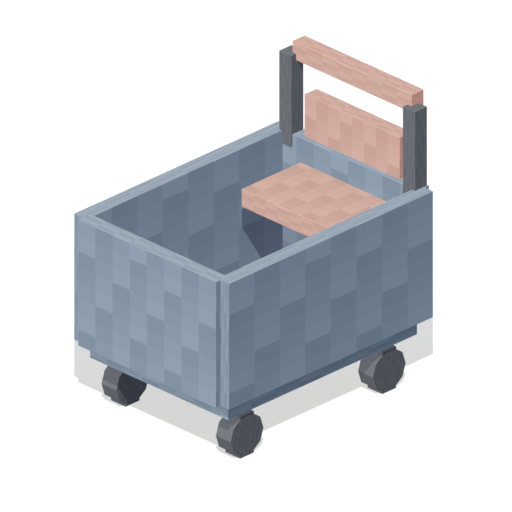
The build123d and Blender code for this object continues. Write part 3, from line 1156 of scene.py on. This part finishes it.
class CART_OT_bushes_and_dowels(bpy.types.Operator):
    """Finish the brass bushes and the blind dowels, whose shapes the frame already has"""
    bl_idname = "mine_cart.bushes_and_dowels"
    bl_label = "Bushes and dowels"

    def execute(self, context):
        brass = bright("brass", tones_of("brass"), 0.32)
        finishes = {f"axle_bush_{corner}": brass for corner in CORNERS}
        finishes["corner_dowels"] = timber("plain timber dowel", tones_of("dowel"), "y")
        for name, finish in finishes.items():
            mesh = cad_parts[name].data
            for number in range(len(mesh.materials)):
                mesh.materials[number] = finish
            if not mesh.materials:
                mesh.materials.append(finish)
        return {"FINISHED"}


# ------------------------------------------------------------------ stage
SUNS = {        # the way to each light, and its tint
    "key": ((0.464, -0.464, 0.755), (1.0, 0.875, 0.872)),
    "front": ((0, -0.925, 0.38), (1.0, 0.868, 0.949)),
    "top": ((0, 0, 1), (0.972, 0.872, 1.0)),
    "right": ((1, 0, 0), (0.847, 0.803, 1.0)),
    "left": ((-1, 0, 0), (0.95, 0.87, 1.0)),
    "back": ((0, 1, 0), (0.95, 0.87, 1.0)),
    "under": ((0, 0, -1), (1.0, 0.92, 0.95)),
}
KEY_SPREAD, SOFT_SPREAD = 0.3, 0.5      # degrees across the key light and the others
AIR = (0.93, 0.97, 1, 1)                # colour of the even light
FLOOR_LIT = (0.852, 0.974, 0.977, 1)    # the floor's own colour
FLOOR_GLOW = (0.243, 0.238, 0.181, 1)   # what lifts its shadow to a light grey
FLOOR_QUIET = (0.10, 0.10, 0.10, 1)     # what it throws back up at the cart
FLOOR_SIZE, FLOOR_DROP = 60, 0.0004
AIM, DISTANCE, CLIP = (0.006, -0.00375, 0.5425), 6, 100     # of the camera


def sun(name, strength):
    """A light from far away. Only the key light casts a shadow."""
    rest()
    way, tint = SUNS[name]
    casts = name == "key"
    bpy.ops.object.light_add(type="SUN")
    lamp = bpy.context.object
    lamp.name = f"{name} light"
    lamp.data.energy, lamp.data.color = strength, tint
    lamp.data.angle = radians(KEY_SPREAD if casts else SOFT_SPREAD)
    lamp.data.use_shadow = casts
    lamp.data.cycles.max_bounces = 0
    lamp.rotation_euler = Vector(way).to_track_quat("Z", "Y").to_euler()


def either(tree, factor, first, second):
    """The first shader where a factor is nought, and the second where it is one."""
    return node(tree, "MixShader", {0: factor, 1: first, 2: second}).outputs[0]


def sky(strength, gleam):
    """Even light all round, brighter in metal, which the camera sees as plain white."""
    world = bpy.data.worlds.new("studio")
    bpy.context.scene.world = world
    tree = cleared(world)
    even, mirrored, white = (
        node(tree, "Background", {"Color": colour, "Strength": level}).outputs[0]
        for colour, level in ((AIR, strength), (AIR, gleam), (WHITE, 1.0)))
    path = node(tree, "LightPath").outputs
    lit = either(tree, path["Is Glossy Ray"], even, mirrored)
    node(tree, "OutputWorld", {0: either(tree, path["Is Camera Ray"], lit, white)})


def floor_finish():
    """A white floor that throws little light back up, with a grey shadow on it."""
    material = bpy.data.materials.new("studio floor")
    tree = cleared(material)
    lit = node(tree, "BsdfDiffuse", {"Color": FLOOR_LIT}).outputs[0]
    glow = node(tree, "Emission", {"Color": FLOOR_GLOW, "Strength": 1.0}).outputs[0]
    seen = node(tree, "AddShader", {0: lit, 1: glow}).outputs[0]
    quiet = node(tree, "BsdfDiffuse", {"Color": FLOOR_QUIET}).outputs[0]
    camera = node(tree, "LightPath").outputs["Is Camera Ray"]
    node(tree, "OutputMaterial", {0: either(tree, camera, quiet, seen)})
    return material


class CART_OT_stage(bpy.types.Operator):
    """Set out the floor, the lights and the camera"""
    bl_idname = "mine_cart.stage"
    bl_label = "Stage"

    def execute(self, context):
        stage = context.scene.cart_stage
        rest()
        bpy.ops.mesh.primitive_plane_add(size=FLOOR_SIZE, location=(0, 0, -FLOOR_DROP))
        floor = bpy.context.object
        floor.name = "studio_floor"
        floor.data.materials.append(floor_finish())

        for name in SUNS:
            sun(name, getattr(stage, name))
        sky(stage.sky, stage.gleam)

        turn = Matrix.Rotation(stage.azimuth, 3, "Z")
        back = turn @ (Matrix.Rotation(-stage.elevation, 3, "X") @ Vector(FRONT))
        bpy.ops.object.camera_add(location=Vector(AIM) + back * DISTANCE,
                                  rotation=back.to_track_quat("Z", "Y").to_euler())
        camera = bpy.context.object
        camera.data.type = "ORTHO"
        camera.data.ortho_scale = stage.width
        camera.data.clip_end = CLIP
        context.scene.camera = camera
        context.scene.view_settings.view_transform = "Standard"
        return {"FINISHED"}


# ------------------------------------------------------------------ panel and main
STEPS = (
    CART_OT_walls, CART_OT_base_frame, CART_OT_floor_boards, CART_OT_posts_and_bar,
    CART_OT_seat_and_back, CART_OT_wheels, CART_OT_hangers, CART_OT_axle_ends,
    CART_OT_seat_brackets, CART_OT_post_straps, CART_OT_countersunk_screws,
    CART_OT_coach_screws, CART_OT_bushes_and_dowels, CART_OT_stage,
)


class CART_PT_panel(bpy.types.Panel):
    """The steps that make the mine cart, with their sizes and colours"""
    bl_idname = "CART_PT_panel"
    bl_label = "Mine Cart"
    bl_space_type = "VIEW_3D"
    bl_region_type = "UI"
    bl_category = "Mine Cart"

    def draw(self, context):
        for step in STEPS:
            self.layout.operator(step.bl_idname)
        for title, settings in (("Sizes", context.scene.cart_sizes),
                                ("Colours", context.scene.cart_colours),
                                ("Stage", context.scene.cart_stage)):
            box = self.layout.box()
            box.label(text=title)
            for name in settings.__annotations__:
                box.prop(settings, name)


CLASSES = (CartSizes, CartColours, CartStage, *STEPS, CART_PT_panel)


def register():
    """Add the settings, the steps and the panel."""
    for item in CLASSES:
        bpy.utils.register_class(item)
    bpy.types.Scene.cart_sizes = PointerProperty(type=CartSizes)
    bpy.types.Scene.cart_colours = PointerProperty(type=CartColours)
    bpy.types.Scene.cart_stage = PointerProperty(type=CartStage)


def unregister():
    """Take them away again."""
    del bpy.types.Scene.cart_sizes, bpy.types.Scene.cart_colours, bpy.types.Scene.cart_stage
    for item in reversed(CLASSES):
        bpy.utils.unregister_class(item)


def main():
    """Make the cart on its stage."""
    register()
    for step in STEPS:
        family, name = step.bl_idname.split(".")
        getattr(getattr(bpy.ops, family), name)()


if __name__ == "__main__":
    main()
